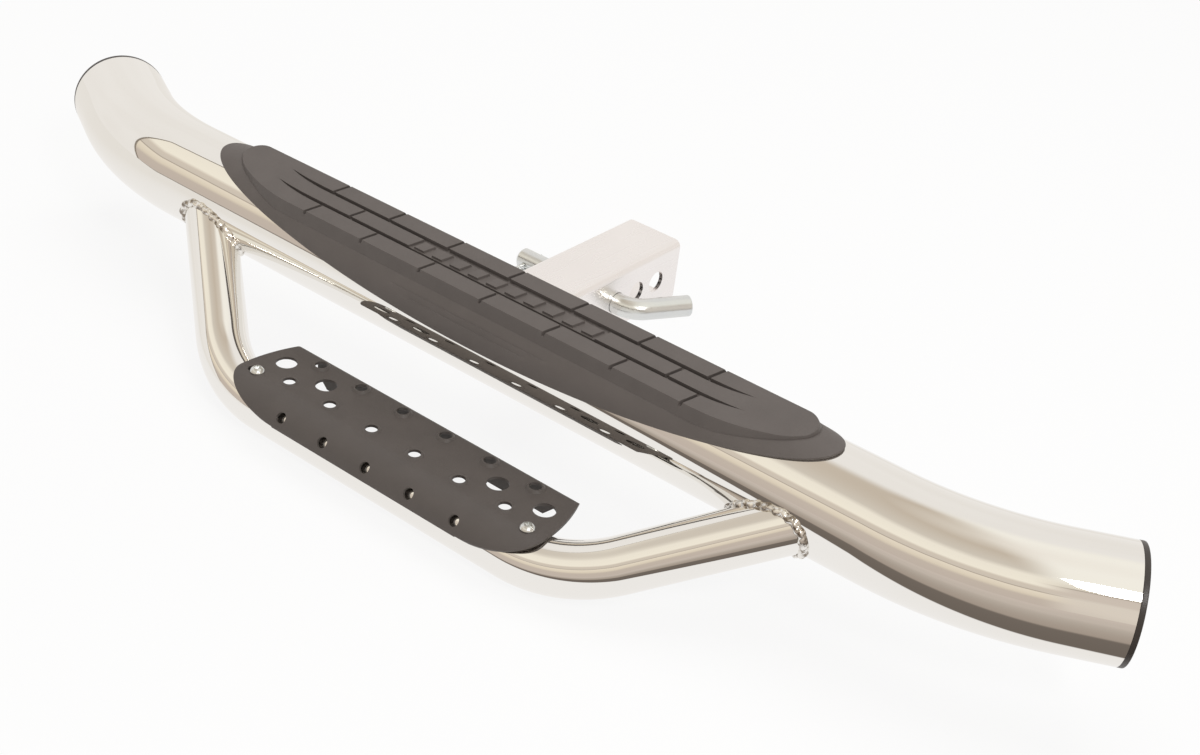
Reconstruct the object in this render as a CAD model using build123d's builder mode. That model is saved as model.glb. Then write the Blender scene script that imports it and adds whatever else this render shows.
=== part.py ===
from build123d import *
import os
from math import asin, cos, degrees, radians, sin, tan

# Hitch receiver step: a bent polished tube carried on a square receiver shank, with a padded
# tread on top and a second, lower step plate hung below it on a U-shaped tube.
# Millimetres. The origin is the middle of the shank at the hitch pin's axis, +Y runs into the
# vehicle's receiver, +X along the main tube and +Z up.

# Receiver shank
shank_side = 50.8
shank_wall = 3.0
shank_corner = 5.5
shank_reach = 75.7
pin_hole = 16.6
spare_holes = 2
hole_pitch = 24.5

# Main tube
main_od = 76.2
main_wall = 2.0
tube_setback = 106.0
tube_lift = 8.14
bend_corner = 372.0
bend_radius = 239.0
bend_angle = 27.65
end_leg = 96.4
cap_rim = 3.2
cap_dome = 1.0
cap_plug = 18.0
cap_wall = 2.5
cap_fit = 0.2

# Drop tube that carries the lower step
drop_od = 38.1
drop_wall = 2.0
drop_tilt = 38.0
drop_rise = 6.57
drop_depth = 129.55
drop_corner = 155.25
drop_splay = 294.5
drop_bend = 106.4
weld_bead = 4.5
shank_bead = 4.0

# Step pad on the main tube
pad_gap = 0.2
pad_shift = 4.0
pad_clock = 14.0
pad_top = 43.5
pad_half_width = 20.3
pad_straight = 180.0
nose_arcs = ((150.0, 22.0), (45.0, 23.0), (10.5, 45.0))
pad_bevel = 12.0
pad_draft = 21.0
skirt_clock = 4.0
skirt_shift = 3.0
skirt_half_length = 275.0
skirt_half_angle = 80.5
skirt_rear_angle = 57.0
skirt_thickness = 2.0
groove_width = 3.0
groove_depth = 3.0
groove_line = 7.0
groove_straight = 172.0
groove_tail = 36.0
groove_hook = 3.5
cross_width = 2.4
cross_pitch = 56.0
cross_slant = 23.0
cross_phase = 7.6
cross_count = 7
middle_crosses = (-130.0, 153.0)
field_start = -73.0
field_end = 94.0
field_depth = 1.6
rib_count = 10
rib_width = 8.0
rib_inset = 1.2
clip_inner = 105.0
clip_outer = 215.0
clip_head = 10.0
clip_head_height = 1.6
clip_leg = 6.4
clip_hole = 7.0
clip_barb = 7.8
clip_length = 11.0
clip_fit = 0.15

# Lower step plate
plate_thickness = 2.0
plate_gap = 2.5
plate_half_length = 140.0
plate_depth = 49.0
plate_end_radius = 120.0
plate_wrap = 73.5
wrap_half_length = 85.0
rear_bend = 2.0
rear_flange = 24.0
rear_half_length = 112.0
rear_chamfer = 10.0
front_holes = 5
front_hole = 8.0
front_angle = 51.0
grip_holes = 6
grip_hole = 9.0
middle_row = 8.0
middle_dimple = 0.8
rear_row = 38.5
rear_dimple = 1.6
dimple_foot = 2.4
drain_hole = 15.5
drain_row = 24.0

# Screws and rivet nuts of the step plate
screw_inset = 15.0
screw_row = 1.0
screw_hole = 6.6
screw_slot = 5.0
screw_size = 6.0
screw_head = 10.5
screw_head_height = 3.3
screw_edge = 0.7
screw_crown_reach = 4.1
screw_crown_height = 2.4
screw_face = 2.7
screw_socket = 4.0
screw_socket_depth = 2.0
screw_length = 16.0
nut_body = 9.0
nut_fit = 0.1
nut_flange = 12.0
nut_length = 13.0
nut_bulge = 11.0
nut_bulge_height = 3.0

# Hitch pin and its clip
pin_size = 15.9
pin_tip = 66.0
pin_chamfer = 2.0
pin_bend_start = 29.0
pin_bend_radius = 20.0
pin_bend_angle = 59.0
pin_arm = 34.0
clip_wire = 2.8
clip_wire_fit = 0.2
clip_spot = 57.0
clip_tail = 13.0
clip_reach = 43.4
clip_loop = 7.9
clip_hug = 0.35
hug_turn = 55.0
hug_lead = 3.2
crest_bend = 2.2

# Places that follow from the sizes
main_radius = main_od / 2
drop_radius = drop_od / 2
pin_radius = pin_size / 2
main_axis = Vector(0, -tube_setback, tube_lift)
drop_square = Vector(0, sin(radians(drop_tilt)), -cos(radians(drop_tilt)))
drop_down = Vector(0, -cos(radians(drop_tilt)), -sin(radians(drop_tilt)))
drop_origin = main_axis - drop_square * drop_rise
drop_bottom = drop_origin + drop_down * drop_depth
plate_under = drop_bottom.Z + drop_radius + plate_gap
plate_top = plate_under + plate_thickness
plate_pitch = 2 * plate_half_length / (grip_holes + 1)
drain_inner = 2 * plate_pitch
drain_outer = 3 * plate_pitch
screw_spot = plate_half_length - screw_inset
os.makedirs("parts", exist_ok=True)


def along(path, radius):
    """A solid rod of the given radius along a path."""
    with BuildPart() as rod:
        with BuildSketch(Plane(origin=path @ 0, z_dir=path % 0)):
            Circle(radius)
        sweep(path=path)
    return rod.part


# Centre lines of the two tubes
end_run = Vector(cos(radians(bend_angle)), sin(radians(bend_angle))) * end_leg
main_corners = [
    (-bend_corner - end_run.X, -tube_setback + end_run.Y),
    (-bend_corner, -tube_setback),
    (bend_corner, -tube_setback),
    (bend_corner + end_run.X, -tube_setback + end_run.Y),
]
with BuildLine(Plane.XY.offset(tube_lift)) as main_path:
    FilletPolyline(*main_corners, radius=bend_radius)

drop_plane = Plane(origin=drop_origin, x_dir=(1, 0, 0), z_dir=drop_square)
drop_corners = [
    (-drop_splay, 0),
    (-drop_corner, drop_depth),
    (drop_corner, drop_depth),
    (drop_splay, 0),
]
with BuildLine(drop_plane) as drop_path:
    FilletPolyline(*drop_corners, radius=drop_bend)

main_rod = along(main_path.line, main_radius)
drop_rod = along(drop_path.line, drop_radius)

# The pad's tread is a plane clocked towards the front of the tube; local +Y points backwards
pad_normal = Vector(0, -sin(radians(pad_clock)), cos(radians(pad_clock)))
tread = Plane(
    origin=main_axis + Vector(pad_shift, 0, 0) + pad_normal * pad_top,
    x_dir=(1, 0, 0),
    z_dir=pad_normal,
)
clip_spots = [(x, 0) for x in (-clip_outer, -clip_inner, clip_inner, clip_outer)]

# Main tube: one bend at each end, with holes in its crown for the pad's push clips
with BuildPart() as main_tube:
    add(main_rod)
    add(along(main_path.line, main_radius - main_wall), mode=Mode.SUBTRACT)
    with BuildSketch(tread):
        with Locations(clip_spots):
            Circle(clip_hole / 2)
    extrude(amount=-pad_top, mode=Mode.SUBTRACT)
main_tube.part.label = "main_tube"
export_step(main_tube.part, "parts/main_tube.step")

# Drop tube: a wide U whose two ends are coped to the main tube, with two holes for rivet nuts
nut_spots = [(x, drop_bottom.Y + screw_row) for x in (-screw_spot, screw_spot)]
with BuildPart() as drop_tube:
    add(drop_rod)
    add(along(drop_path.line, drop_radius - drop_wall), mode=Mode.SUBTRACT)
    add(main_rod, mode=Mode.SUBTRACT)
    with BuildSketch(Plane.XY.offset(plate_under)):
        with Locations(nut_spots):
            Circle(nut_body / 2 + nut_fit)
    extrude(amount=-drop_radius - plate_gap, mode=Mode.SUBTRACT)
drop_tube.part.label = "drop_tube"
export_step(drop_tube.part, "parts/drop_tube.step")


def square_bar(side, corner):
    """A bar along the shank's axis, from its open end to the main tube's axis."""
    with BuildPart() as bar:
        with BuildSketch(Plane(origin=(0, shank_reach, 0), x_dir=(1, 0, 0), z_dir=(0, -1, 0))):
            RectangleRounded(side, side, corner)
        extrude(amount=shank_reach + tube_setback)
    return bar.part


# Receiver shank: square tube coped to the back of the main tube, drilled across for the pin
shank_bore = shank_side - 2 * shank_wall
with BuildPart() as shank:
    add(square_bar(shank_side, shank_corner))
    add(square_bar(shank_bore, shank_corner - shank_wall), mode=Mode.SUBTRACT)
    add(main_rod, mode=Mode.SUBTRACT)
    with BuildSketch(Plane.YZ):
        with Locations([(k * hole_pitch, 0) for k in range(spare_holes + 1)]):
            Circle(pin_hole / 2)
    extrude(amount=shank_side, both=True, mode=Mode.SUBTRACT)
shank.part.label = "shank"
export_step(shank.part, "parts/shank.step")

# Weld beads: what two grown members share, outside the members themselves
with BuildPart() as drop_welds:
    add(along(drop_path.line, drop_radius + weld_bead))
    add(along(main_path.line, main_radius + weld_bead), mode=Mode.INTERSECT)
    add(main_rod, mode=Mode.SUBTRACT)
    add(drop_rod, mode=Mode.SUBTRACT)
beads = drop_welds.part.solids().sort_by(Axis.X)
for name, bead in (("weld_left", beads[0]), ("weld_right", beads[-1])):
    bead.label = name
    export_step(bead, f"parts/{name}.step")

with BuildPart() as weld_shank:
    add(square_bar(shank_side + 2 * shank_bead, shank_corner + shank_bead))
    add(along(main_path.line, main_radius + shank_bead), mode=Mode.INTERSECT)
    add(main_rod, mode=Mode.SUBTRACT)
    add(square_bar(shank_side, shank_corner), mode=Mode.SUBTRACT)
weld_shank.part.label = "weld_shank"
export_step(weld_shank.part, "parts/weld_shank.step")


def end_cap(name, place, outwards):
    """A moulded plug with a rim that covers the tube's end and a slightly domed face."""
    plug = main_radius - main_wall - cap_fit
    dome_radius = (main_radius**2 + cap_dome**2) / (2 * cap_dome)
    dome_turn = degrees(asin(main_radius / dome_radius))
    with BuildPart() as cap:
        with BuildSketch(Plane(origin=place, x_dir=(0, 0, 1), z_dir=Vector(0, 0, 1).cross(outwards))):
            with BuildLine():
                Polyline(
                    (0, cap_rim - cap_wall),
                    (plug - cap_wall, cap_rim - cap_wall),
                    (plug - cap_wall, -cap_plug),
                    (plug, -cap_plug),
                    (plug, 0),
                    (main_radius, 0),
                    (main_radius, cap_rim - cap_dome),
                )
                CenterArc((0, cap_rim - dome_radius), dome_radius, 90, -dome_turn)
                Line((0, cap_rim), (0, cap_rim - cap_wall))
            make_face()
        revolve(axis=Axis(place, outwards))
    cap.part.label = name
    export_step(cap.part, f"parts/{name}.step")


end_cap("end_cap_left", main_path.line @ 0, -(main_path.line % 0))
end_cap("end_cap_right", main_path.line @ 1, main_path.line % 1)

# Pad skirt: a thin shell that hugs the tube. Each half is cut to half an ellipse, seen square
# to the shell halfway down its side, so that its rim stays nearly square to the tube. The rear
# half stops at a straight edge above the shank's weld.
skirt_inner = main_radius + pad_gap
skirt_outer = skirt_inner + skirt_thickness
skirt_centre = main_axis + Vector(skirt_shift, 0, 0)
skirt_up = Vector(0, -sin(radians(skirt_clock)), cos(radians(skirt_clock)))
skirt_ridge = (skirt_inner + skirt_thickness / 2) * sin(radians(skirt_half_angle / 2))


def skirt_half(front, turn):
    """One half of the skirt, down to an angle of turn from its ridge; front is 1 or -1."""
    cut_angle = skirt_clock + front * skirt_half_angle / 2
    cut_side = Vector(0, -sin(radians(cut_angle)), cos(radians(cut_angle)))
    with BuildPart() as half:
        with BuildSketch(Plane(origin=skirt_centre, x_dir=skirt_up, z_dir=(1, 0, 0))):
            with BuildLine():
                outer = CenterArc((0, 0), skirt_outer, 0, front * turn)
                inner = CenterArc((0, 0), main_radius, 0, front * turn)
                Line(outer @ 0, inner @ 0)
                Line(outer @ 1, inner @ 1)
            make_face()
        extrude(amount=skirt_half_length + skirt_thickness, both=True)
        with BuildSketch(Plane(origin=skirt_centre, x_dir=(front, 0, 0), z_dir=cut_side)):
            with Locations((0, skirt_ridge)):
                Ellipse(skirt_half_length, 2 * skirt_ridge)
                Rectangle(2 * skirt_half_length, main_od, align=(Align.CENTER, Align.MIN), mode=Mode.SUBTRACT)
                Rectangle(2 * skirt_half_length, skirt_thickness, align=(Align.CENTER, Align.MIN))
        extrude(amount=main_od, mode=Mode.INTERSECT)
    return half.part


# Step pad: the tread block grows out of the skirt, with drafted sides, long grooves that hook
# and fade at their ends, slanted cross grooves and a sunken field of plain bars in the middle
clip_seat = tread.offset(main_radius + clip_fit - pad_top)
row_middle = (groove_line + pad_half_width) / 2
row_cut = 2 * (pad_half_width - groove_line)
field_half = groove_line - groove_width / 2
field_lean = field_half * tan(radians(cross_slant))
rib_pitch = (field_end - field_start) / rib_count
cross_spots = [cross_phase + (k - (cross_count - 1) / 2) * cross_pitch for k in range(cross_count)]
with BuildPart() as step_pad:
    add(skirt_half(1, 90))
    add(skirt_half(-1, skirt_rear_angle))
    with BuildSketch(tread):
        with BuildLine():
            Line((0, -pad_half_width), (pad_straight, -pad_half_width))
            place, heading = Vector(pad_straight, -pad_half_width), Vector(1, 0)
            for radius, turn in nose_arcs:
                nose = JernArc(place, heading, radius, turn)
                place, heading = nose @ 1, nose % 1
            heel = JernArc(place, heading, pad_half_width - place.Y, 90)
            Line(heel @ 1, (0, pad_half_width))
            mirror(about=Plane.YZ)
        make_face()
    extrude(amount=-pad_bevel, taper=-pad_draft)
    add(along(main_path.line, skirt_inner), mode=Mode.SUBTRACT)
    with BuildSketch(tread):
        for line in (-groove_line, groove_line):
            with BuildLine():
                low, high = line - groove_width / 2, line + groove_width / 2
                tip = Vector(groove_straight + groove_tail, line + groove_hook)
                Line((0, low), (groove_straight, low))
                TangentArc((groove_straight, low), tip, tangent=(1, 0))
                TangentArc((groove_straight, high), tip, tangent=(1, 0))
                Line((0, high), (groove_straight, high))
                mirror(about=Plane.YZ)
            make_face()
        with Locations([(x, side * row_middle) for x in cross_spots for side in (-1, 1)]):
            Rectangle(cross_width, row_cut, rotation=-cross_slant)
        with Locations([(x, 0) for x in middle_crosses]):
            Rectangle(cross_width, 2 * groove_line, rotation=-cross_slant)
    extrude(amount=-groove_depth, mode=Mode.SUBTRACT)
    with BuildSketch(tread):
        with BuildLine():
            Polyline(
                (field_start - field_lean, -field_half),
                (field_end - field_lean, -field_half),
                (field_end + field_lean, field_half),
                (field_start + field_lean, field_half),
                close=True,
            )
        make_face()
        with Locations([(field_start + (k + 0.5) * rib_pitch, 0) for k in range(rib_count)]):
            Rectangle(rib_width, 2 * (field_half - rib_inset), rotation=-cross_slant, mode=Mode.SUBTRACT)
    extrude(amount=-field_depth, mode=Mode.SUBTRACT)
    with BuildSketch(clip_seat):
        with Locations(clip_spots):
            Circle(clip_head / 2 + clip_fit)
    extrude(amount=clip_head_height + clip_fit, both=True, mode=Mode.SUBTRACT)
step_pad.part.label = "step_pad"
export_step(step_pad.part, "parts/step_pad.step")

# Push clips: a flat head caught under the pad, a leg through the tube's wall and a barb inside
barb_seat = clip_seat.offset(-main_wall - 4 * clip_fit)
with BuildPart() as pad_clips:
    with Locations(clip_seat):
        with Locations(clip_spots):
            Cylinder(clip_head / 2, clip_head_height, align=(Align.CENTER, Align.CENTER, Align.MIN))
            Cylinder(clip_leg / 2, clip_length, align=(Align.CENTER, Align.CENTER, Align.MAX))
    with Locations(barb_seat):
        with Locations(clip_spots):
            Cone(
                clip_leg / 2,
                clip_barb / 2,
                clip_length / 2,
                align=(Align.CENTER, Align.CENTER, Align.MAX),
            )
pad_clips.part.label = "pad_clips"
export_step(pad_clips.part, "parts/pad_clips.step")

# Lower step plate: one folded sheet that wraps the front of the drop tube, runs flat to the
# rear over the rivet nuts and ends in a flange turned down
rear_edge = drop_bottom.Y + plate_depth
bend_out = rear_bend + plate_thickness
wrap_inner = drop_radius + plate_gap
wrap_outer = wrap_inner + plate_thickness
wrap_axis = (drop_bottom.Y, drop_bottom.Z)
bend_axis = (rear_edge - bend_out, plate_under - rear_bend)
flange_foot = plate_top - rear_flange
wrap_middle = plate_wrap / 2
wrap_ridge = (wrap_inner + plate_thickness / 2) * sin(radians(wrap_middle))
wrap_side = Vector(0, -sin(radians(wrap_middle)), cos(radians(wrap_middle)))
front_side = Vector(0, -sin(radians(front_angle)), cos(radians(front_angle)))


def row_of(count, pitch, row):
    """Places of a row of holes, counted from the plate's middle and the drop tube's axis."""
    return [((k - (count - 1) / 2) * pitch, drop_bottom.Y + row) for k in range(count)]


with BuildPart() as step_plate:
    with BuildSketch(Plane.YZ.offset(-plate_half_length)):
        with BuildLine():
            outer = CenterArc(wrap_axis, wrap_outer, 90, plate_wrap)
            inner = CenterArc(wrap_axis, wrap_inner, 90, plate_wrap)
            Line(outer @ 1, inner @ 1)
            outer_bend = CenterArc(bend_axis, bend_out, 0, 90)
            inner_bend = CenterArc(bend_axis, rear_bend, 0, 90)
            Line(outer @ 0, outer_bend @ 1)
            Line(inner @ 0, inner_bend @ 1)
            Polyline(
                outer_bend @ 0,
                (rear_edge, flange_foot),
                (rear_edge - plate_thickness, flange_foot),
                inner_bend @ 0,
            )
        make_face()
    extrude(amount=2 * plate_half_length)
    with BuildSketch(Plane.XY.offset(plate_top)):
        with BuildLine():
            side_turn = degrees(asin((plate_depth + rear_bend) / plate_end_radius))
            side_axis = (plate_half_length - plate_end_radius, drop_bottom.Y)
            side = CenterArc(side_axis, plate_end_radius, 0, side_turn)
            front_line = drop_bottom.Y - wrap_outer - rear_bend
            Polyline(side @ 0, (plate_half_length, front_line), (0, front_line))
            Line(side @ 1, (0, (side @ 1).Y))
            mirror(about=Plane.YZ)
        make_face()
    extrude(amount=-drop_od, mode=Mode.INTERSECT)
    with BuildSketch(Plane(origin=drop_bottom, x_dir=(1, 0, 0), z_dir=wrap_side)):
        with BuildLine():
            corner = EllipticalCenterArc(
                (wrap_half_length, wrap_ridge),
                plate_half_length - wrap_half_length,
                2 * wrap_ridge,
                start_angle=-90,
                arc_size=90,
            )
            Polyline(
                corner @ 0,
                (wrap_half_length, -drop_od),
                (plate_half_length + drop_od, -drop_od),
                (plate_half_length + drop_od, wrap_ridge),
                corner @ 1,
            )
        make_face()
        mirror(about=Plane.YZ)
    extrude(amount=drop_od, mode=Mode.SUBTRACT)
    with BuildSketch(Plane(origin=(0, rear_edge, plate_under), x_dir=(1, 0, 0), z_dir=(0, -1, 0))):
        with BuildLine():
            Polyline(
                (rear_half_length, 0),
                (plate_half_length, 0),
                (plate_half_length, -rear_flange),
                (rear_half_length - rear_chamfer, -rear_flange),
                (rear_half_length - rear_chamfer, plate_thickness - rear_flange),
                (rear_half_length, plate_thickness - rear_flange + rear_chamfer),
                close=True,
            )
        make_face()
        mirror(about=Plane.YZ)
    extrude(amount=bend_out, mode=Mode.SUBTRACT)
    for row, rise in ((middle_row, middle_dimple), (rear_row, rear_dimple)):
        for level, inset, mode in ((plate_top, 0, Mode.ADD), (plate_under, plate_thickness / 4, Mode.SUBTRACT)):
            with Locations(Plane.XY.offset(level)):
                with Locations(row_of(grip_holes, plate_pitch, row)):
                    Cone(
                        grip_hole / 2 + dimple_foot - inset,
                        grip_hole / 2 + plate_thickness / 2 - inset,
                        rise,
                        align=(Align.CENTER, Align.CENTER, Align.MIN),
                        mode=mode,
                    )
    with BuildSketch(Plane.XY.offset(plate_under - plate_thickness)):
        with Locations(row_of(grip_holes, plate_pitch, middle_row) + row_of(grip_holes, plate_pitch, rear_row)):
            Circle(grip_hole / 2)
        with Locations(row_of(2, 2 * drain_inner, drain_row) + row_of(2, 2 * drain_outer, drain_row)):
            Circle(drain_hole / 2)
        with Locations(nut_spots[1]):
            Circle(screw_hole / 2)
        with Locations((nut_spots[0][0] - screw_slot / 2, nut_spots[0][1])):
            SlotCenterToCenter(screw_slot, screw_hole)
    extrude(amount=3 * plate_thickness + rear_dimple, mode=Mode.SUBTRACT)
    with BuildSketch(Plane(origin=drop_bottom, x_dir=(1, 0, 0), z_dir=front_side)):
        with GridLocations(plate_pitch, plate_pitch, front_holes, 1):
            Circle(front_hole / 2)
    extrude(amount=drop_od, mode=Mode.SUBTRACT)
step_plate.part.label = "step_plate"
export_step(step_plate.part, "parts/step_plate.step")

# Button-head screws of the step plate, with a hexagon socket
head_radius = screw_head / 2
with BuildPart() as plate_screws:
    for x, y in nut_spots:
        with BuildSketch(Plane(origin=(x, y, plate_top), x_dir=(1, 0, 0), z_dir=(0, -1, 0))):
            with BuildLine():
                Polyline((0, screw_head_height), (0, 0), (head_radius, 0), (head_radius, screw_edge))
                ThreePointArc(
                    (head_radius, screw_edge),
                    (screw_crown_reach, screw_crown_height),
                    (screw_face, screw_head_height),
                )
                Line((screw_face, screw_head_height), (0, screw_head_height))
            make_face()
        revolve(axis=Axis((x, y, plate_top), (0, 0, 1)))
    with Locations(Plane.XY.offset(plate_top)):
        with Locations(nut_spots):
            Cylinder(screw_size / 2, screw_length, align=(Align.CENTER, Align.CENTER, Align.MAX))
    with BuildSketch(Plane.XY.offset(plate_top + screw_head_height)):
        with Locations(nut_spots):
            RegularPolygon(screw_socket / 2, 6, major_radius=False)
    extrude(amount=-screw_socket_depth, mode=Mode.SUBTRACT)
plate_screws.part.label = "plate_screws"
export_step(plate_screws.part, "parts/plate_screws.step")

# Rivet nuts: a flange saddled to the drop tube that carries the plate, and a barrel with its
# squeezed bulge inside the tube
bulge_seat = plate_under - plate_gap - drop_wall - plate_gap
with BuildPart() as under_plate:
    with BuildSketch(Plane.YZ.offset(-plate_half_length)):
        with Locations(wrap_axis):
            Circle(wrap_inner)
        with Locations((wrap_axis[0], plate_under)):
            Rectangle(drop_od, drop_od, align=(Align.MIN, Align.MAX))
    extrude(amount=2 * plate_half_length)
with BuildPart() as rivet_nuts:
    with Locations(Plane.XY.offset(plate_under)):
        with Locations(nut_spots):
            Cylinder(nut_flange / 2, 2 * plate_gap, align=(Align.CENTER, Align.CENTER, Align.MAX))
    add(drop_rod, mode=Mode.SUBTRACT)
    with Locations(Plane.XY.offset(plate_under)):
        with Locations(nut_spots):
            Cylinder(nut_body / 2, nut_length, align=(Align.CENTER, Align.CENTER, Align.MAX))
    with Locations(Plane.XY.offset(bulge_seat)):
        with Locations(nut_spots):
            Cylinder(nut_bulge / 2, nut_bulge_height, align=(Align.CENTER, Align.CENTER, Align.MAX))
    with Locations(Plane.XY.offset(plate_under)):
        with Locations(nut_spots):
            Cylinder(
                screw_size / 2 + nut_fit,
                nut_length,
                align=(Align.CENTER, Align.CENTER, Align.MAX),
                mode=Mode.SUBTRACT,
            )
    add(under_plate.part, mode=Mode.INTERSECT)
rivet_nuts.part.label = "rivet_nuts"
export_step(rivet_nuts.part, "parts/rivet_nuts.step")

# Hitch pin: a round bar through the shank, bent towards the vehicle at one end, with a
# chamfered tip and a cross hole for its clip at the other
with BuildLine() as pin_path:
    pin_run = Line((-pin_tip, 0), (pin_bend_start, 0))
    pin_turn = JernArc(pin_run @ 1, (1, 0), pin_bend_radius, pin_bend_angle)
    PolarLine(pin_turn @ 1, pin_arm, direction=pin_turn % 1)
with BuildPart() as hitch_pin:
    add(along(pin_path.line, pin_radius))
    ends = hitch_pin.faces().filter_by(GeomType.PLANE).sort_by(Axis.X)
    chamfer(ends[0].edges(), pin_chamfer)
    fillet(ends[-1].edges(), pin_chamfer / 2)
    with BuildSketch(Plane.XZ):
        with Locations((-clip_spot, 0)):
            Circle(clip_wire / 2 + clip_wire_fit)
    extrude(amount=pin_size, both=True, mode=Mode.SUBTRACT)
hitch_pin.part.label = "hitch_pin"
export_step(hitch_pin.part, "parts/hitch_pin.step")

# Pin clip: one spring wire. A straight leg goes through the pin, a loop turns back and the
# outer leg dips round the pin's lower front and flares at its end
hug = pin_radius + clip_wire / 2 + clip_hug
loop_end = clip_wire / 2 - clip_reach
loop_foot = -2 * clip_loop - clip_wire_fit
hug_corner = -hug * tan(radians(hug_turn / 2))
crest_run = hug * tan(radians(hug_turn / 2)) + hug_lead
crest = (hug_corner - crest_run * cos(radians(hug_turn)), -hug + crest_run * sin(radians(hug_turn)))
with BuildLine(Plane.YZ.offset(-clip_spot)) as clip_path:
    FilletPolyline(
        (clip_tail, 0),
        (loop_end, 0),
        (loop_end, loop_foot),
        (loop_end / 2, loop_foot),
        crest,
        (hug_corner, -hug),
        (clip_tail / 3, -hug),
        (clip_tail, -hug - clip_wire),
        radius=[clip_loop, clip_loop, 2 * clip_wire, crest_bend, hug, hug],
    )
pin_clip = along(clip_path.line, clip_wire / 2)
pin_clip.label = "pin_clip"
export_step(pin_clip, "parts/pin_clip.step")
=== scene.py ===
from math import cos, pi, radians, sin, tan

import bmesh
import bpy
import numpy as np
from mathutils import Matrix, Vector


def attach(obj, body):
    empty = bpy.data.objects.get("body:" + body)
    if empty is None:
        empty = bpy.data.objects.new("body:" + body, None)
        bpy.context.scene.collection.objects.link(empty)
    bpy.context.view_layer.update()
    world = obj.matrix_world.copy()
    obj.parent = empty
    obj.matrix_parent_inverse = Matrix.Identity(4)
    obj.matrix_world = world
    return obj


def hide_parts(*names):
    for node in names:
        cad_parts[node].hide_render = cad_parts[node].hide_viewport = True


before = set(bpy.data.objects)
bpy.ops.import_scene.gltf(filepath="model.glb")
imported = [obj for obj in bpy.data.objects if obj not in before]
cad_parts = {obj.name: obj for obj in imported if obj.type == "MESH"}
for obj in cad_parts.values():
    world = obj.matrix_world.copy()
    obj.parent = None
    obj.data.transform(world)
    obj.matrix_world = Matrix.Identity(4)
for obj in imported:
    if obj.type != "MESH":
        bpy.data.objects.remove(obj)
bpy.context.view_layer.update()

# The studio: a white table in a room with cream and grey-brown walls, all mirrored by the
# polished steel. A square lamp high on the right shows in it as a white panel, and a larger one
# overhead only lights. The camera looks down from the front right.
studio_white = (1.0, 1.0, 1.0, 1.0)
floor_colour = (0.86, 0.855, 0.85, 1.0)
floor_level = -0.0857
floor_size = 30.0
tube_centre = np.array([0.0, -0.106, 0.00814])
view_azimuth, view_elevation, view_roll = radians(34.5), radians(31.37), radians(7.53)
view_offset = np.array([-0.07268, 0.03459, -1.22667])
view_focal, photo_width, sensor = 1765.13, 1200, 36.0


class Tone:
    """One output of a shader node. Signs between tones and numbers add Math nodes."""

    def __init__(self, tree, socket):
        self.tree = tree
        self.socket = socket

    def node(self, kind, settings=None, sockets=None, out=0):
        """Adds a node: its settings first, then the values or links of its sockets."""
        made = self.tree.nodes.new(kind)
        for key, value in (settings or {}).items():
            if key == "stops":
                for k, (place, colour) in enumerate(value):
                    stop = made.color_ramp.elements[k] if k < 2 else made.color_ramp.elements.new(place)
                    stop.position, stop.color = place, colour
            else:
                setattr(made, key, value)
        for key, value in (sockets or {}).items():
            if isinstance(value, Tone):
                self.tree.links.new(value.socket, made.inputs[key])
            else:
                made.inputs[key].default_value = value
        return Tone(self.tree, made.outputs[out] if made.outputs else None)

    def math(self, operation, *values):
        """A Math node with this operation on the values."""
        return self.node("ShaderNodeMath", {"operation": operation}, dict(enumerate(values)))

    def mix(self, dark, light):
        """The colour or value between two others, at this tone's factor."""
        return self.node(
            "ShaderNodeMix", {"data_type": "RGBA"}, {"Factor": self, 6: dark, 7: light}, 2
        )

    def band(self, low, high):
        """0 below low, 1 above high, a smooth step between."""
        return self.node(
            "ShaderNodeMapRange",
            {"interpolation_type": "SMOOTHSTEP"},
            {"Value": self, "From Min": low, "From Max": high},
        )

    def ramp(self, *stops):
        """Colours along this value: each stop is a place, 0 to 1, and its red, green and blue."""
        solid = [(spot, (*colour, 1)) for spot, colour in stops]
        ordered = [solid[0], solid[-1], *solid[1:-1]]
        return self.node("ShaderNodeValToRGB", {"stops": ordered}, {"Fac": self})

    def __add__(self, other):
        return self.math("ADD", self, other)

    def __sub__(self, other):
        return self.math("SUBTRACT", self, other)

    def __mul__(self, other):
        return self.math("MULTIPLY", self, other)

    def __rsub__(self, other):
        return self.math("SUBTRACT", other, self)

    __radd__, __rmul__ = __add__, __mul__


def shader(tree):
    """An empty tree's starting tone: it only makes nodes."""
    tree.nodes.clear()
    return Tone(tree, None)


room = bpy.data.worlds.new("studio_room")
bpy.context.scene.world = room
bpy.context.scene.view_settings.view_transform = "Standard"
room.use_nodes = True
start = shader(room.node_tree)
heading = start.node("ShaderNodeTexCoord", out=0)
wave_scale, wave_depth = 2.2, 0.03
waves = start.node(
    "ShaderNodeTexNoise", sockets={"Vector": heading, "Scale": wave_scale, "Detail": 2.0}
)
height = start.node("ShaderNodeSeparateXYZ", sockets={0: heading}, out=2)
elevation = height.math("ARCSINE", height) * (2 / pi) + (waves - 0.5) * wave_depth
left_walls = elevation.ramp(
    (0.00, (0.585, 0.505, 0.445)),
    (0.12, (0.60, 0.52, 0.45)),
    (0.17, (0.78, 0.69, 0.56)),
    (0.25, (0.86, 0.77, 0.64)),
    (0.262, (0.36, 0.30, 0.25)),
    (0.272, (0.67, 0.60, 0.52)),
    (0.34, (0.70, 0.62, 0.53)),
    (0.38, (0.96, 0.90, 0.78)),
    (0.52, (0.93, 0.87, 0.76)),
    (0.60, (0.68, 0.62, 0.54)),
    (0.80, (0.60, 0.52, 0.43)),
    (1.00, (0.80, 0.74, 0.66)),
)
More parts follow.
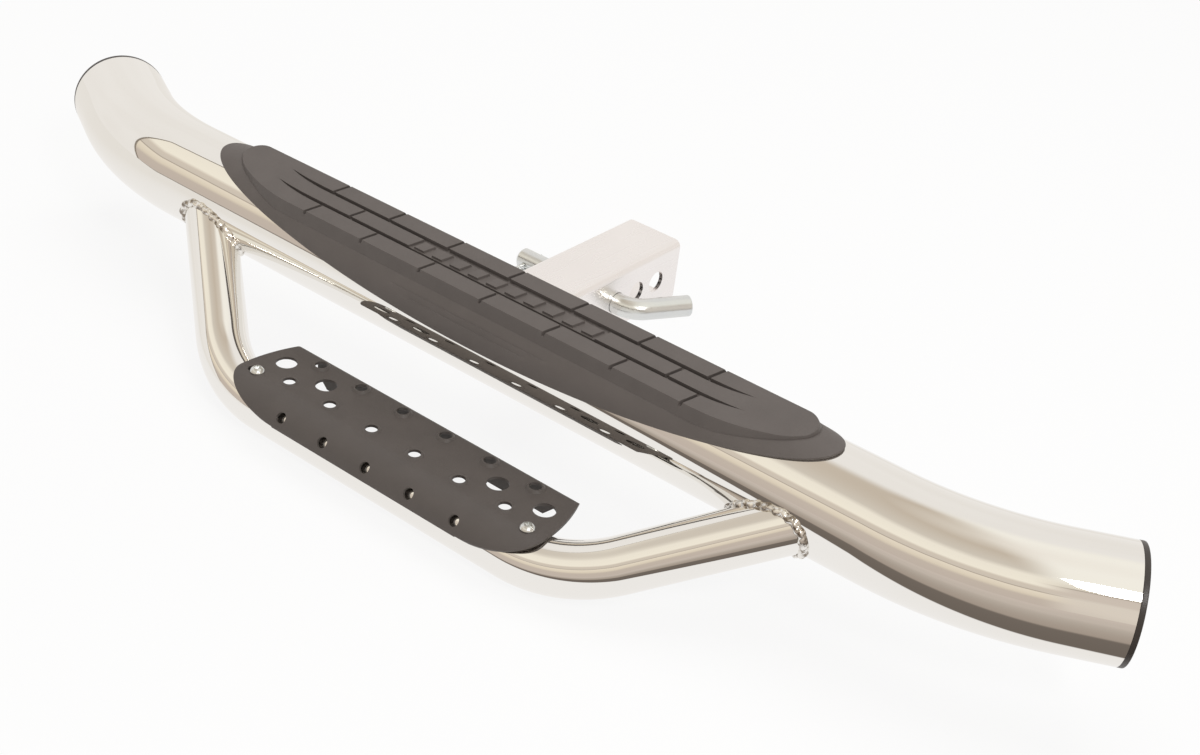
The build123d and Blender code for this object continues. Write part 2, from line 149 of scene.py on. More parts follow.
right_walls = elevation.ramp(
    (0.00, (0.72, 0.65, 0.57)),
    (0.10, (0.76, 0.685, 0.605)),
    (0.26, (0.75, 0.68, 0.60)),
    (0.30, (0.67, 0.59, 0.52)),
    (0.42, (0.66, 0.58, 0.51)),
    (0.432, (0.33, 0.28, 0.23)),
    (0.442, (0.76, 0.70, 0.60)),
    (0.50, (0.84, 0.79, 0.69)),
    (0.58, (0.98, 0.95, 0.87)),
    (0.80, (0.98, 0.95, 0.88)),
    (1.00, (0.92, 0.87, 0.80)),
)


def along_heading(begin, vector, direction):
    """How far a vector goes along a fixed direction: their dot product."""
    return begin.node(
        "ShaderNodeVectorMath", {"operation": "DOT_PRODUCT"}, {0: vector, 1: direction}, 1
    )


towards_camera = (sin(view_azimuth), -cos(view_azimuth), 0.0)
towards_right = (cos(view_azimuth), sin(view_azimuth), 0.0)
facing = along_heading(start, heading, towards_camera)
sided = along_heading(start, heading, towards_right)

# The walls fill the side towards the camera, further back the higher they are. The rest is a
# pale tent. A thin dark seam hems its edge on the left, and on the right the edge is soft.
tent_pale, tent_grey, seam_brown = (0.95, 0.93, 0.91, 1), (0.85, 0.815, 0.775, 1), (0.25, 0.21, 0.17, 1)
wall_lean, bounce_grey = 0.4, (0.60, 0.59, 0.58, 1)
tent = waves.mix(tent_pale, tent_grey)
opening = facing + height * wall_lean
open_side = sided.band(-0.1, 0.1).mix(left_walls, right_walls)
seam = opening.band(0.012, 0.016).mix(tent, seam_brown)
hemmed = opening.band(0.028, 0.032).mix(seam, open_side)
unhemmed = opening.band(-0.15, 0.1).mix(tent, open_side)
walls = sided.band(-0.6, -0.4).mix(hemmed, unhemmed)
is_camera = start.node("ShaderNodeLightPath", out="Is Camera Ray")
is_diffuse = start.node("ShaderNodeLightPath", out="Is Diffuse Ray")
backdrop = is_camera.mix(is_diffuse.mix(walls, bounce_grey), studio_white)
sky = start.node("ShaderNodeBackground", sockets={"Color": backdrop, "Strength": 1.0})
start.node("ShaderNodeOutputWorld", sockets={"Surface": sky})

# The white table stops a short way in front of the object. In the steel's mirrors the floor
# glows with painted light and shade instead of taking light: the table lighter near the object
# and darker further off, and beyond its edge the dim room floor, a dark band of painted shade
# that grows lighter further off.
table_front, table_edge, room_depth, camera_share = 0.365, 0.003, 2.0, 0.84
# painted light: in mirrors the table glows lighter near the object and darker further off
table_near, table_far = (0.93, 0.915, 0.905, 1), (0.86, 0.83, 0.79, 1)
floor_mesh = bpy.data.meshes.new("studio_floor")
reach = floor_size / 2
floor_mesh.from_pydata(
    [(x * reach, y * reach, floor_level) for x, y in ((-1, -1), (1, -1), (1, 1), (-1, 1))],
    [],
    [(0, 1, 2, 3)],
)
floor = bpy.data.objects.new("studio_floor", floor_mesh)
bpy.context.scene.collection.objects.link(floor)
paper = bpy.data.materials.new("studio_paper")
paper.use_nodes = True
start = shader(paper.node_tree)
matt = start.node("ShaderNodeBsdfDiffuse", sockets={"Color": floor_colour})
spot = start.node("ShaderNodeTexCoord", out=3)
forward = along_heading(start, spot, towards_camera) - table_front
# painted shade: the dark band past the table's edge, lighter further off
dim_room_painted_shade = (forward * (1 / room_depth)).ramp(
    (0.000, (0.165, 0.138, 0.118)),
    (0.045, (0.180, 0.152, 0.130)),
    (0.052, (0.40, 0.335, 0.285)),
    (0.120, (0.47, 0.41, 0.355)),
    (0.250, (0.58, 0.51, 0.45)),
    (1.000, (0.62, 0.54, 0.48)),
)
away = start.node("ShaderNodeVectorMath", {"operation": "LENGTH"}, {0: spot}, 1)
table = away.band(0.35, 0.8).mix(table_near, table_far)
painted_floor_in_mirrors = forward.band(-table_edge, table_edge).mix(table, dim_room_painted_shade)
is_camera = start.node("ShaderNodeLightPath", out="Is Camera Ray")
is_mirror = start.node("ShaderNodeLightPath", out="Is Glossy Ray")
# In mirrors the floor shows only this painted glow; for the camera it is mostly even white
lit_colour = is_mirror.mix(studio_white, painted_floor_in_mirrors)
lit = start.node("ShaderNodeEmission", sockets={"Color": lit_colour, "Strength": 1.0})
share = is_camera * camera_share + is_mirror
surface = start.node("ShaderNodeMixShader", sockets={0: share, 1: matt, 2: lit})
start.node("ShaderNodeOutputMaterial", sockets={"Surface": surface})
floor_mesh.materials.append(paper)


def lamp(name, place, size, power, mirrored):
    """A square soft lamp that faces the object. A lamp that isn't mirrored only lights."""
    light = bpy.data.lights.new(name, "AREA")
    light.size, light.energy = size, power
    holder = bpy.data.objects.new(name, light)
    turned = Vector(place).to_track_quat("Z", "Y").to_matrix().to_4x4()
    holder.matrix_world = Matrix.Translation(place) @ turned
    holder.visible_glossy = mirrored
    bpy.context.scene.collection.objects.link(holder)


lamp("lamp_high_right", (1.42, -0.90, 1.45), 0.46, 11.0, True)
lamp("lamp_overhead", (-0.3, 0.5, 2.6), 2.4, 30.0, False)

back = np.array(
    [
        sin(view_azimuth) * cos(view_elevation),
        -cos(view_azimuth) * cos(view_elevation),
        sin(view_elevation),
    ]
)
right = np.array([cos(view_azimuth), sin(view_azimuth), 0.0])
upright = np.cross(back, right)
rolled = np.stack(
    [
        cos(view_roll) * right + sin(view_roll) * upright,
        cos(view_roll) * upright - sin(view_roll) * right,
        back,
    ]
)
camera_data = bpy.data.cameras.new("camera")
camera_data.sensor_width = sensor
camera_data.lens = view_focal / photo_width * sensor
camera_data.clip_end = 100.0
camera = bpy.data.objects.new("camera", camera_data)
camera.matrix_world = Matrix.Translation(tube_centre - rolled.T @ view_offset) @ Matrix(
    rolled.T.tolist()
).to_4x4()
bpy.context.scene.collection.objects.link(camera)
bpy.context.scene.camera = camera

# Main tube: 76 mm stainless steel tube, 2 mm wall, bent once near each end on a mandrel bender
# and mirror polished all over. It is the step's backbone: everything else is welded or clipped
# to it. Its ends stop a little short, where the caps' rims lap over them.
main_radius, main_wall = 0.0381, 0.002
main_turn, main_corner, main_leg = radians(27.65), 0.372, 0.0964
main_bend, main_facets, cap_overlap = 0.239, 144, 0.0016
steel_pale, steel_shade = (0.90, 0.885, 0.855, 1.0), (0.88, 0.865, 0.83, 1)


def bent_line(corners, radii, steps=28):
    """Points and unit headings of a path: straight runs between corners, each corner rounded to
    an arc that touches both runs. Each arc turns by equal angles about its centre."""
    corners = [np.array(corner, float) for corner in corners]
    points, headings = [corners[0][None]], []
    for before, corner, after, radius in zip(corners, corners[1:], corners[2:], radii):
        inward = (corner - before) / np.linalg.norm(corner - before)
        outward = (after - corner) / np.linalg.norm(after - corner)
        turn = np.arccos(np.clip(inward @ outward, -1, 1))
        side = outward - inward * (inward @ outward)
        side /= np.linalg.norm(side)
        angle = np.linspace(0, turn, steps)[:, None]
        entry = corner - inward * radius * tan(turn / 2)
        arc = entry + radius * (np.sin(angle) * inward + (1 - np.cos(angle)) * side)
        headings += [inward[None]] if not headings else []
        headings.append(np.cos(angle) * inward + np.sin(angle) * side)
        points.append(arc)
        last = outward
    points.append(corners[-1][None])
    headings.append(last[None])
    return np.concatenate(points), np.concatenate(headings)


def rings(points, headings, normal, outline):
    """A profile carried along a flat path. The profile's first coordinate runs along the path
    plane's normal, its second along normal x heading."""
    side = np.cross(normal, headings)
    across = outline[None, :, 0, None] * np.asarray(normal)[None, None, :]
    return points[:, None] + across + outline[None, :, 1, None] * side[:, None]


def circle(radius, count):
    """Pairs of radius cos and radius sin, at equal angles round a circle."""
    angle = np.linspace(0, 2 * pi, count, endpoint=False)
    return radius * np.stack([np.cos(angle), np.sin(angle)], 1)


def skin(grid, closed_rows=False, closed_columns=True):
    """Corners and four-sided faces of a grid of points, rows by columns. A closed way joins its
    last line to its first."""
    rows, columns = grid.shape[:2]
    index = np.arange(rows * columns).reshape(rows, columns)
    if closed_rows:
        index = np.concatenate([index, index[:1]])
    if closed_columns:
        index = np.concatenate([index, index[:, :1]], axis=1)
    faces = np.stack([index[:-1, :-1], index[:-1, 1:], index[1:, 1:], index[1:, :-1]], -1)
    return grid.reshape(-1, 3), faces.reshape(-1, 4)


def make_piece(name, corners, faces, finish, slot, body, nodes, crease=35.0, weld=1e-6):
    """A mesh object from corners and faces: doubles merged, faces turned outwards, smooth apart
    from its creases. It rides on its body and stands for the named solids."""
    mesh = bpy.data.meshes.new(name)
    mesh.from_pydata(corners.tolist(), [], faces.tolist())
    shape = bmesh.new()
    shape.from_mesh(mesh)
    bmesh.ops.remove_doubles(shape, verts=shape.verts, dist=weld)
    bmesh.ops.dissolve_degenerate(shape, edges=shape.edges, dist=weld)
    bmesh.ops.recalc_face_normals(shape, faces=shape.faces)
    shape.to_mesh(mesh)
    shape.free()
    mesh.shade_smooth()
    mesh.set_sharp_from_angle(angle=radians(crease))
    mesh.materials.append(finish)
    piece = bpy.data.objects.new(name, mesh)
    bpy.context.scene.collection.objects.link(piece)
    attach(piece, body)
    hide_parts(*nodes)


def finish_of(name, **sockets):
    """A material with a principled surface. Sockets are given by name, with _ for a space;
    a function gets the starting tone and returns the link."""
    material = bpy.data.materials.new(name)
    material.use_nodes = True
    begin = shader(material.node_tree)
    values = {
        key.replace("_", " "): value(begin) if callable(value) else value
        for key, value in sockets.items()
    }
    surface = begin.node("ShaderNodeBsdfPrincipled", sockets=values)
    begin.node("ShaderNodeOutputMaterial", sockets={"Surface": surface})
    return material


def place(begin):
    """Where on the object, in metres."""
    return begin.node("ShaderNodeTexCoord", out=3)


def noise(begin, scale, detail=3.0, stretch=(1.0, 1.0, 1.0)):
    """Soft irregular spots, 0 to 1, stretched along the axes."""
    stretched = begin.node(
        "ShaderNodeMapping", {"vector_type": "POINT"}, {"Vector": place(begin), "Scale": stretch}
    )
    return begin.node(
        "ShaderNodeTexNoise", sockets={"Vector": stretched, "Scale": scale, "Detail": detail}
    )


def bump(begin, height, depth):
    """A bump from a height tone, depth in metres."""
    return begin.node(
        "ShaderNodeBump", sockets={"Height": height, "Distance": depth, "Strength": 1.0}
    )


def polish_marks(begin):
    """Faint wheel marks round the tube and soft waves from polishing."""
    wheel_marks = noise(begin, 60.0, 4.0, (1.0, 0.15, 0.15))
    soft_waves = noise(begin, 14.0, 2.0)
    return bump(begin, wheel_marks * 0.12 + soft_waves, 0.00008)


polished = finish_of(
    "mirror_polished_steel",
    Base_Color=lambda b: noise(b, 9.0, 2.0).mix(steel_shade, steel_pale),
    Metallic=1.0,
    Roughness=lambda b: noise(b, 120.0, 4.0, (1.0, 0.2, 0.2)) * 0.03 + 0.015,
    Normal=polish_marks,
)

up, seen_leg = (0.0, 0.0, 1.0), main_leg - cap_overlap


def main_end(side, leg):
    """The point of the tube's middle line at a distance along its bent end."""
    across, along = leg * cos(main_turn), leg * sin(main_turn)
    return (side * (main_corner + across), tube_centre[1] + along, tube_centre[2])


main_points, main_headings = bent_line(
    [main_end(-1, seen_leg), main_end(-1, 0), main_end(1, 0), main_end(1, seen_leg)],
    (main_bend, main_bend),
)
main_shells = [
    rings(main_points, main_headings, up, circle(main_radius, main_facets)),
    rings(main_points, main_headings, up, circle(main_radius - main_wall, main_facets))[::-1],
]
make_piece(
    "main_tube_polished",
    *skin(np.concatenate(main_shells), closed_rows=True),
    polished,
    "polished_tube",
    "step",
    ["main_tube"],
)

# Drop tube: 38 mm stainless tube bent to a wide U, both ends cut to the main tube's round and
# welded under its front, then polished with it. It hangs the lower step plate.
drop_radius, drop_wall, drop_bend, drop_tilt = 0.01905, 0.002, 0.1064, radians(38.0)
drop_facets, drop_bend_steps = 96, 40
drop_rise, drop_depth = 0.00657, 0.12955
drop_splay, drop_corner = 0.2945, 0.15525
drop_square = np.array([0.0, sin(drop_tilt), -cos(drop_tilt)])
drop_down = np.array([0.0, -cos(drop_tilt), -sin(drop_tilt)])
drop_origin = tube_centre - drop_square * drop_rise
drop_ends = ((-drop_splay, 0.0), (-drop_corner, drop_depth), (drop_corner, drop_depth), (drop_splay, 0.0))
drop_points, drop_headings = bent_line(
    [drop_origin + np.array([x, 0, 0]) + drop_down * down for x, down in drop_ends],
    (drop_bend, drop_bend),
    drop_bend_steps,
)


def cope(ring, heading, radius):
    """Slides each point of an end ring along the tube until it lies on the main tube: the root
    of |point + t heading - axis| = radius, seen along the main tube's axis. A negative radius
    takes the root at the path's start."""
    flat = (ring - tube_centre)[:, 1:]
    run = heading[1:]
    a, b, c = run @ run, flat @ run, (flat**2).sum(1) - radius**2
    travel = (-b - np.sign(radius) * np.sqrt(b**2 - a * c)) / a
    return ring + travel[:, None] * heading


def drop_skin(radius, ends):
    """The drop tube's rings at a radius, with both end rings coped."""
    shell = rings(drop_points, drop_headings, drop_square, circle(radius, drop_facets))
    shell[0] = cope(shell[0], drop_headings[0], -ends)
    shell[-1] = cope(shell[-1], drop_headings[-1], ends)
    return shell


drop_shells = [drop_skin(drop_radius, main_radius), drop_skin(drop_radius - drop_wall, main_radius)[::-1]]
make_piece(
    "drop_tube_polished",
    *skin(np.concatenate(drop_shells), closed_rows=True),
    polished,
    "polished_tube",
    "step",
    ["drop_tube"],
)

# Receiver shank: 50.8 mm square steel tube with satin mill-finished faces and three
# cross holes for the pin. It is cut to the main tube's round and welded to its back.
shank_half, shank_corner, shank_points = 0.0254, 0.0055, 480
satin = finish_of(
    "satin_steel",
    Base_Color=lambda b: noise(b, 30.0).mix((0.90, 0.865, 0.85, 1), (0.95, 0.92, 0.905, 1)),
    Metallic=1.0,
    Roughness=lambda b: noise(b, 90.0, 4.0, (1.0, 0.12, 1.0)) * 0.14 + 0.2,
    Normal=lambda b: bump(b, noise(b, 300.0, 3.0, (1.0, 0.05, 1.0)), 0.000004),
)


def dress(finish, *names):
    """Gives solids that keep their own shape a finish."""
    for name in names:
        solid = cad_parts[name]
        solid.data.materials.clear()
        solid.data.materials.append(finish)


dress(satin, "shank")

# Weld beads: one lumpy run round each end of the drop tube and one round the shank, laid in
# overlapping drops in the corner between two members and polished over, not ground flat.
bead_radius, bead_lift, drop_pitch = 0.0028, 0.0005, 0.0055
bead_slim, bead_swell, bead_uneven = 0.80, 0.26, 0.11
bead_facets, bead_points = 18, 330
weld_dark, weld_bright = (0.26, 0.22, 0.18, 1), (0.88, 0.86, 0.82, 1)
weld_steel = finish_of(
    "polished_weld",
    Base_Color=lambda b: noise(b, 230.0).band(0.36, 0.58).mix(weld_dark, weld_bright),
    Metallic=1.0,
    Roughness=lambda b: noise(b, 350.0) * 0.22 + 0.06,
    Normal=lambda b: bump(b, noise(b, 700.0, 2.0), 0.0002),
)


def bead(line, first, second):
    """Rings of a weld bead along a closed line, by turn about it. The bead's middle is lifted
    along the middle of the two members' normals. Its radius swells once for each drop, and
    slow waves of the length make the drops unequal."""
    middle = first + second
    middle /= np.linalg.norm(middle, axis=1)[:, None]
    ahead = np.roll(line, -1, 0) - np.roll(line, 1, 0)
    ahead /= np.linalg.norm(ahead, axis=1)[:, None]
    across = np.cross(ahead, middle)
    run = np.cumsum(np.linalg.norm(np.roll(line, -1, 0) - line, axis=1))
    drops = round(run[-1] / drop_pitch)
    part = (2 * pi * run / run[-1])[:, None]
    turn = np.linspace(0, 2 * pi, bead_facets, endpoint=False)[None, :]
    swell = np.abs(np.sin(part * drops / 2 + 0.9 * np.cos(turn) + 0.8 * np.sin(5 * part)))
    uneven = np.sin(7 * part + 2) * np.sin(11 * part + turn) + np.sin(17 * part - 2 * turn)
    radius = bead_radius * (bead_slim + bead_swell * swell**0.6 + bead_uneven * uneven)
    out = middle[:, None] * np.cos(turn)[..., None] + across[:, None] * np.sin(turn)[..., None]
    return (line + bead_lift * middle)[:, None] + radius[..., None] * out


def round_normals(points):
    """Unit normals of the main tube at points of its straight part."""
    out = (points - tube_centre) * (0, 1, 1)
    return out / np.linalg.norm(out, axis=1)[:, None]


def make_weld(name, node, line, joined):
    """A weld bead piece in the corner between the main tube and the member joined to it."""
    surface = skin(bead(line, round_normals(line), joined), closed_rows=True)
    make_piece(name, *surface, weld_steel, "weld", "step", [node], crease=60.0)


fine_rings = rings(drop_points, drop_headings, drop_square, circle(drop_radius, bead_points))
for side, end in (("left", 0), ("right", -1)):
    line = cope(fine_rings[end], drop_headings[end], main_radius if end else -main_radius)
    spokes = fine_rings[end] - drop_points[end]
    make_weld(f"weld_bead_{side}", f"weld_{side}", line, spokes / drop_radius)


def rounded_square(half, corner, count):
    """Points and outward normals round a square with round corners. A ray at each angle meets
    the sharp square. The nearest spot of the square inside the corners' centres, moved out by
    the corner's radius towards that point, lies on the rounded one. At 45 degrees rounding can
    send a point to another corner."""
    turn = np.linspace(0, 2 * pi, count, endpoint=False)
    face = np.round(turn / (pi / 2)) * (pi / 2)
    ahead = np.stack([np.cos(face), np.sin(face)], 1)
    beside = np.stack([-np.sin(face), np.cos(face)], 1)
    flat_run = np.tan(np.remainder(turn + pi / 4, pi / 2) - pi / 4)
    sharp = half * (ahead + flat_run[:, None] * beside)
    inner = np.clip(sharp, corner - half, half - corner)
    normal = (sharp - inner) / np.linalg.norm(sharp - inner, axis=1)[:, None]
    return inner + corner * normal, normal


shank_line, shank_normal = rounded_square(shank_half, shank_corner, shank_points)
weld_y = tube_centre[1] + np.sqrt(main_radius**2 - (shank_line[:, 1] - tube_centre[2]) ** 2)
make_weld(
    "weld_bead_shank",
    "weld_shank",
    np.stack([shank_line[:, 0], weld_y, shank_line[:, 1]], 1),
    np.stack([shank_normal[:, 0], 0 * weld_y, shank_normal[:, 1]], 1),
)

# End caps: black plastic plugs pressed into both ends of the main tube. A shallow dome covers
# the opening, and its rounded rim laps over the tube's edge.
cap_rim, cap_dome, cap_plug, cap_wall, cap_fit = 0.0032, 0.001, 0.018, 0.0025, 0.0002
rim_round, cap_facets = 0.0006, 120
cap_plastic = finish_of(
    "cap_plastic",
    Base_Color=lambda b: noise(b, 80.0).mix((0.026, 0.021, 0.018, 1), (0.042, 0.034, 0.029, 1)),
    Roughness=lambda b: noise(b, 300.0) * 0.1 + 0.34,
    Normal=lambda b: bump(b, noise(b, 1500.0, 2.0), 0.00006),
)


def cap_profile():
    """A cap's section as (radius, height over the tube's end): plug, lapping rim with rounded
    edges, and a dome that rises by a parabola to the middle."""
    plug, shoulder, flat = main_radius - main_wall - cap_fit, cap_rim - cap_dome, main_radius - rim_round
    hollow, inside = plug - cap_wall, cap_rim - cap_wall
    quarter = np.linspace(0, pi / 2, 6)
    low = np.stack([np.sin(quarter), -np.cos(quarter)], 1) * rim_round
    high = np.stack([np.cos(quarter), np.sin(quarter)], 1) * rim_round
    reach = np.linspace(1, 0, 14)[1:] * flat
    rise = shoulder + cap_dome * (1 - (reach / flat) ** 2)
    return np.concatenate(
        [
            [(0, inside), (hollow, inside), (hollow, -cap_plug), (plug, -cap_plug), (plug, -cap_overlap)],
            low + (flat, rim_round - cap_overlap),
            high + (flat, shoulder - rim_round),
            np.stack([reach, rise], 1),
        ]
    )


section = cap_profile()
cap_turn = np.linspace(0, 2 * pi, cap_facets, endpoint=False)[None, :, None]
for side, sign in (("left", -1), ("right", 1)):
    outward = np.array([sign * cos(main_turn), sin(main_turn), 0.0])
    spoke = np.cos(cap_turn) * np.cross(up, outward) + np.sin(cap_turn) * np.array(up)
    grid = np.array(main_end(sign, main_leg)) + section[:, None, 1:] * outward + section[:, None, :1] * spoke
    make_piece(
        f"end_cap_{side}_moulded",
        *skin(grid),
        cap_plastic,
        "black_plastic",
        "step",
        [f"end_cap_{side}"],
        crease=40.0,
    )

# Step pad: one soft black plastic moulding that hugs the top of the tube. A raised tread with
# drafted sides stands on a thin skirt; its long grooves hook and fade at both ends, slanted cross
# grooves break it into bricks, and a sunken field in the middle holds plain slanted bars. Push
# clips under it hold it in holes of the tube. Sizes are in millimetres.
pad_centre, pad_clock, pad_top = 4.0, radians(14.0), 43.5
tread_half, tread_straight, tread_draft = 20.3, 180.0, tan(radians(21.0))
tread_arcs = ((150.0, 0.0, 22.0), (45.0, 22.0, 45.0), (10.5, 45.0, 90.0))
skirt_centre, skirt_clock, skirt_half = 3.0, radians(4.0), 275.0
skirt_turn, skirt_rear_turn = radians(80.5), radians(57.0)
skirt_foot, skirt_rim, skirt_inside = 42.0, 40.2, 38.3
groove_line, groove_half, groove_deep, groove_wall = 7.0, 1.5, 3.0, 0.25
groove_straight, groove_tail, groove_hook = 172.0, 36.0, 3.5
cross_half, cross_pitch, cross_middle, cross_count = 1.3, 56.0, 7.6, 7
cross_lean, row_middle = tan(radians(23.0)), 13.65
block_spots = (-130.0, 153.0)
field_from, field_to, field_deep, field_half = -73.0, 94.0, 1.6, 5.5
bar_count, bar_half, bar_reach = 10, 4.35, 4.2
field_rows = (1.05, 1.3, 3.5, 5.5, 7.5, 9.7, 9.95)
nose_columns, plain_step, line_gap, round_start = 26, 7.0, 0.08, 196.0
lean_end, lean_fade, spread_from = 206.0, 20.0, 150.0
side_shares, edge_round, edge_share = (0.03, 0.08, 0.25, 0.42, 0.6, 0.8, 1.0), 0.12, 0.08
skirt_rows, under_rows, crease_row = 17, 14, 4
crease_turns, crease_half, crease_deep = (1.06, 1.17, 1.31), 0.009, 0.3
crease_end, crease_fade = 190.0, 30.0
rim_rows = ((0.3, 39.95), (0.5, 39.4), (0.45, 38.8), (0.2, skirt_inside))
pad_rubber = finish_of(
    "moulded_pad",
    Base_Color=lambda b: noise(b, 50.0, 4.0).mix((0.098, 0.084, 0.077, 1), (0.124, 0.107, 0.098, 1)),
    Roughness=lambda b: noise(b, 500.0) * 0.12 + 0.5,
    Normal=lambda b: bump(b, noise(b, 2500.0, 2.0), 0.00008),
)


def nose_outline():
    """The tread's outline round its right nose: arcs one after another from the front edge to the
    tip and a quarter circle back to the rear edge. Returns front (x, y) and rear (x, y)."""
    x, y = [0.0, tread_straight], [-tread_half, -tread_half]
    for radius, begin, end in tread_arcs:
        turn = np.radians(np.linspace(begin, end, 40))
        x0, y0 = x[-1] - radius * sin(turn[0]), y[-1] + radius * cos(turn[0])
        x += list(x0 + radius * np.sin(turn[1:]))
        y += list(y0 - radius * np.cos(turn[1:]))
    heel = tread_half - y[-1]
    turn = np.radians(np.linspace(0, 90, 60))
    rear_x = [0.0, *(x[-1] - heel + heel * np.sin(turn))]
    rear_y = [tread_half, *(tread_half - heel + heel * np.cos(turn))]
    return np.array([x, y]), np.array([rear_x, rear_y])


front_edge, rear_edge = nose_outline()
nose_tip = front_edge[0, -1]
cross_spots = cross_middle + (np.arange(cross_count) - cross_count // 2) * cross_pitch
bar_pitch = (field_to - field_from) / bar_count
bar_spots = field_from + (np.arange(bar_count) + 0.5) * bar_pitch


def steps_round(spots, half):
    """Grid lines that make two steep walls about each spot, half a width to each side."""
    offsets = np.array([-half - 0.5, -half, groove_wall - half, half - groove_wall, half, half + 0.5])
    return (np.asarray(spots)[:, None] + offsets).ravel()


def trench(distance, half):
    """1 on the floor of a groove, 0 outside it, with a steep wall: by distance from its middle."""
    return np.clip((half - np.abs(distance)) / groove_wall, 0, 1)


# Column lines: plain steps, two walls for every slanted groove and bar, and a round spacing
# towards both tips, where x = reach sin(turn)
lean_shift = cross_lean * row_middle
lines = np.concatenate(
    [
        np.arange(-round_start, round_start + 0.1, plain_step),
        steps_round(cross_spots - lean_shift, cross_half),
        steps_round(cross_spots + lean_shift, cross_half),
        steps_round(block_spots, cross_half),
        steps_round(bar_spots, bar_half),
        [field_from - 0.3, field_from, field_from + groove_wall],
        [field_to - groove_wall, field_to, field_to + 0.3],
    ]
)
lines = np.sort(lines)
lines = lines[np.concatenate([[True], np.diff(lines) > line_gap])]
turns = np.linspace(0, pi / 2, nose_columns)[1:]
tip_lines = round_start + (nose_tip - round_start) * np.sin(turns)
columns = np.concatenate([-tip_lines[::-1], lines, tip_lines])
lean = cross_lean * np.clip((lean_end - np.abs(columns)) / lean_fade, 0, 1)


def edge_at(edge, x):
    """Height of one edge of the tread's outline at x; the outline is the same to both sides."""
    return np.interp(np.abs(x), edge[0], edge[1])


def groove_edge(line, side, x):
    """Edge of a long groove: straight, then along an arc to the groove's tip."""
    t = np.clip((np.abs(x) - groove_straight) / groove_tail, 0, 1)
    return line + side * groove_half + (groove_hook - side * groove_half) * t**2


def tread_rows(x):
    """Local y of every row line of the tread at x, front edge to rear edge. Past the grooves'
    tips the rows keep their share of the width."""
    near = np.clip(x, -groove_straight - groove_tail, groove_straight + groove_tail)
    low, high = edge_at(front_edge, near), edge_at(rear_edge, near)
    keys = [low, low + 0.5, low + 0.5 + (groove_edge(-groove_line, -1, near) - 0.9 - low) * 0.5]
    for line in (-groove_line, groove_line):
        outer, inner = groove_edge(line, -1, near), groove_edge(line, 1, near)
        wall = np.minimum(groove_wall, (inner - outer) / 3)
        keys += [outer - 0.4, outer, outer + wall, inner - wall, inner, inner + 0.4]
        if line < 0:
            keys += [inner + step for step in field_rows]
    keys += [(keys[-1] + high) / 2, high - 0.5, high]
    share = (np.array(keys) - low) / (high - low)
    now_low, now_high = edge_at(front_edge, x), edge_at(rear_edge, x)
    return now_low + share * (now_high - now_low)


# Points of the tread's top: x leans along the cross grooves, so it is found in a few rounds
row_count = len(tread_rows(np.zeros(1)))
top_x = np.repeat(columns[None], row_count, 0)
for _ in range(4):
    top_y = np.stack([tread_rows(top_x[k])[k] for k in range(row_count)])
    top_x = columns + lean * top_y


def sunk_by(x, y):
    """Depth below the tread's plane: the deepest of the long grooves, which get shallow along
    their tails, the cross grooves of three rows and the middle field between its bars."""
    straight = x - cross_lean * y
    tail = np.clip((np.abs(x) - groove_straight) / groove_tail, 0, 1)
    depth = np.zeros_like(x)
    for line in (-groove_line, groove_line):
        inside = np.minimum(y - groove_edge(line, -1, x), groove_edge(line, 1, x) - y)
        depth = np.maximum(depth, np.clip(inside / groove_wall, 0, 1) * groove_deep * np.sqrt(1 - tail))
    for spots, row in (
        (cross_spots + lean_shift, y < -groove_line),
        (cross_spots - lean_shift, y > groove_line),
        (np.array(block_spots), np.abs(y) < groove_line),
    ):
        nearest = np.abs(straight[..., None] - spots).min(-1)
        depth = np.maximum(depth, trench(nearest, cross_half) * groove_deep * row)
    to_bar = np.abs(straight[..., None] - bar_spots).min(-1)
    bar = np.clip((bar_half + groove_wall - to_bar) / groove_wall, 0, 1)
    bar *= np.clip((bar_reach + groove_wall - np.abs(y)) / groove_wall, 0, 1)
    field = np.clip(np.minimum(straight - field_from, field_to - straight) / groove_wall, 0, 1)
    field *= (np.abs(y) < field_half + 0.01) * (1 - bar)
    return np.maximum(depth, field * field_deep)


def on_tread(x, y, z):
    """Tread coordinates to the row frame, in millimetres."""
    lift = pad_top + z
    spread = y * cos(pad_clock) - lift * sin(pad_clock)
    height = y * sin(pad_clock) + lift * cos(pad_clock)
    return np.stack([x + pad_centre, spread + tube_centre[1] * 1e3, height + tube_centre[2] * 1e3], -1)


def on_round(x, turn, radius):
    """Cylinder coordinates about the main tube to the row frame, in millimetres."""
    y = tube_centre[1] * 1e3 - radius * np.sin(turn)
    z = tube_centre[2] * 1e3 + radius * np.cos(turn)
    return np.stack(np.broadcast_arrays(x, y, z), -1)


